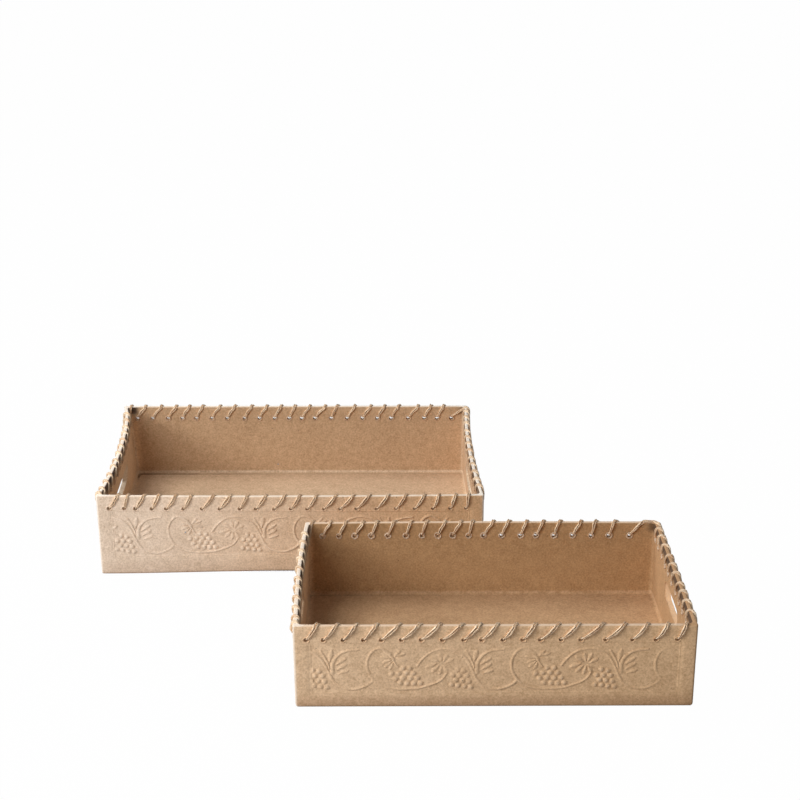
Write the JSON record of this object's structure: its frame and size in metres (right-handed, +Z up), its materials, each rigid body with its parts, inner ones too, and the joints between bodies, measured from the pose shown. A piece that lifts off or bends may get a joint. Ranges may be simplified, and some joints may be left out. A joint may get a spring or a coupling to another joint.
{
  "type": "set of laced board trays",
  "caption": "Open low-walled board trays in a large and a small size, with hand slots in the end walls and a paper lace stitched over the rims, standing apart.",
  "frame": {"origin": "centre of the ground rectangle that both trays cover, at the level of their undersides", "axes": "+X along the long walls to the viewer's right, +Y from the small front tray towards the large rear one, +Z up"},
  "size_m": [0.5552, 0.505, 0.0872],
  "materials": {
    "board": "matt mottled pulp board with fine dark specks, a scroll pressed in low relief on the front",
    "lace": "matt twisted paper cord of two plies"
  },
  "bodies": {
    "root": {"large_tray": "board", "large_tray_lace": "lace", "small_tray": "board", "small_tray_lace": "lace"}
  },
  "joints": []
}
